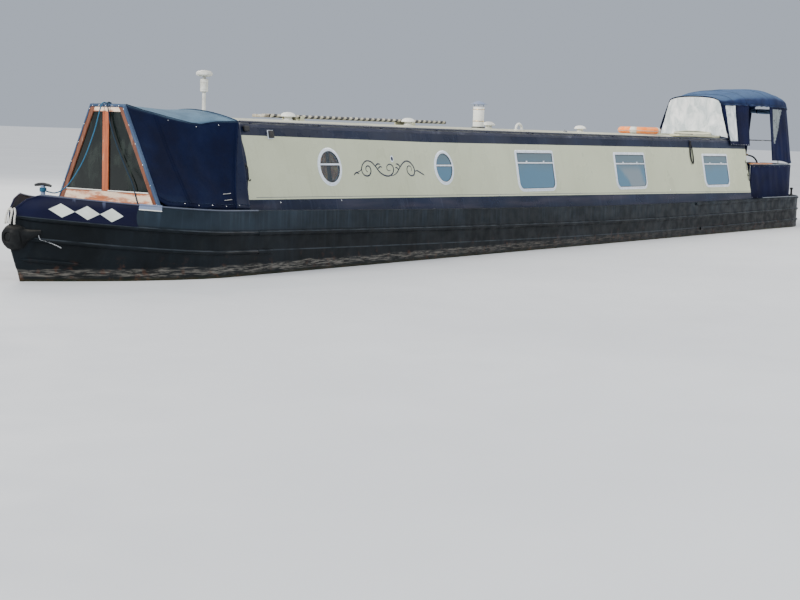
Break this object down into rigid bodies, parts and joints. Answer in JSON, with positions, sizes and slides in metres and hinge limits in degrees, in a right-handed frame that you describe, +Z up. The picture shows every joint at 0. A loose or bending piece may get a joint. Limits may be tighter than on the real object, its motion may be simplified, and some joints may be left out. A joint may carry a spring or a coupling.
{
  "type": "narrowboat",
  "caption": "Steel canal narrowboat with round stern, canvas hood over the stern deck, canvas cratch cover over the bow well, swinging doors, sliding hatch, rudder and propeller.",
  "frame": {"origin": "on the centreline under the baseplate, half way between the front of the bow fender and the aft end of the stern strake", "axes": "+X points to the bow, +Y to port, +Z up; the waterline is at z 0.55"},
  "size_m": [20.33, 2.084, 3.27],
  "materials": {
    "hull_black": "satin",
    "navy_paint": "satin",
    "cream_paint": "satin",
    "timber": "satin",
    "plywood": "matte",
    "navy_canvas": "matte",
    "hood_canvas": "matte",
    "glazing": "polished",
    "window_frame": "satin",
    "stainless": "satin",
    "fender_rubber": "matte",
    "orange_plastic": "satin",
    "blue_rope": "matte",
    "black_rope": "matte",
    "brass": "satin",
    "engine_paint": "matte"
  },
  "bodies": {
    "hull": {"bow_hull": "hull_black", "foredeck": "navy_paint", "well_deck": "navy_paint", "hull_side_port": "hull_black", "hull_side_starboard": "hull_black", "stern_swim": "hull_black", "stern_counter": "hull_black", "baseplate": "hull_black", "cabin_floor": "plywood", "engine_block": "engine_paint", "stern_deck": "plywood", "engine_board": "plywood", "cabin_side_port": "cream_paint", "cabin_side_starboard": "cream_paint", "porthole_port_1": "window_frame", "porthole_port_2": "window_frame", "window_port_1": "window_frame", "window_port_2": "window_frame", "window_port_3": "window_frame", "porthole_starboard_1": "window_frame", "porthole_starboard_2": "window_frame", "window_starboard_1": "window_frame", "window_starboard_2": "window_frame", "window_starboard_3": "window_frame", "cabin_roof": "cream_paint", "cabin_roof_aft": "cream_paint", "front_bulkhead": "navy_paint", "rear_bulkhead": "cream_paint", "cratch_board": "timber", "cratch_glass_port": "glazing", "cratch_glass_starboard": "glazing", "cratch_cover": "navy_canvas", "mushroom_vent_1": "cream_paint", "mushroom_vent_2": "cream_paint", "mushroom_vent_3": "cream_paint", "mushroom_vent_4": "cream_paint", "chimney": "stainless", "pole_and_plank": "timber", "aerial_mast": "stainless", "life_ring": "orange_plastic", "roof_board": "cream_paint", "bow_fender": "fender_rubber", "bow_stud": "hull_black", "stern_dolly_port": "hull_black", "stern_dolly_starboard": "hull_black", "stern_rail": "stainless", "stern_dodger": "navy_canvas", "hood_canvas": "hood_canvas", "hood_frame": "stainless", "bow_line": "blue_rope", "rope_coil": "black_rope"},
    "steering_gear": {"rudder": "hull_black", "tiller": "brass"},
    "propeller": {"propeller": "brass"},
    "front_door_port": {"front_door_port": "timber"},
    "front_door_starboard": {"front_door_starboard": "timber"},
    "rear_door_port": {"rear_door_port": "timber"},
    "rear_door_starboard": {"rear_door_starboard": "timber"},
    "sliding_hatch": {"sliding_hatch": "cream_paint"},
    "locker_lid": {"locker_lid": "navy_paint"}
  },
  "joints": [
    {"name": "steering", "type": "hinge", "parent": "hull", "child": "steering_gear", "pos_m": [-9.68, 0, 1.1], "axis": [0, 0, 1], "range_deg": [-35, 35]},
    {"name": "propeller_spin", "type": "hinge", "parent": "hull", "child": "propeller", "pos_m": [-9.43, 0, 0.25], "axis": [1, 0, 0], "continuous": true},
    {"name": "front_door_port_hinge", "type": "hinge", "parent": "hull", "child": "front_door_port", "pos_m": [7.433, 0.335, 1.4], "axis": [0, 0, 1], "range_deg": [0, 165]},
    {"name": "front_door_starboard_hinge", "type": "hinge", "parent": "hull", "child": "front_door_starboard", "pos_m": [7.433, -0.335, 1.4], "axis": [0, 0, 1], "range_deg": [-165, 0]},
    {"name": "rear_door_port_hinge", "type": "hinge", "parent": "hull", "child": "rear_door_port", "pos_m": [-7.123, 0.335, 1.7], "axis": [0, 0, 1], "range_deg": [-165, 0]},
    {"name": "rear_door_starboard_hinge", "type": "hinge", "parent": "hull", "child": "rear_door_starboard", "pos_m": [-7.123, -0.335, 1.7], "axis": [0, 0, 1], "range_deg": [0, 165]},
    {"name": "hatch_slide", "type": "slide", "parent": "hull", "child": "sliding_hatch", "axis": [1, 0, 0], "range_m": [0, 0.7]},
    {"name": "locker_lid_hinge", "type": "hinge", "parent": "hull", "child": "locker_lid", "pos_m": [9.16, -0.46, 1.321], "axis": [1, 0, 0], "range_deg": [0, 100]}
  ]
}
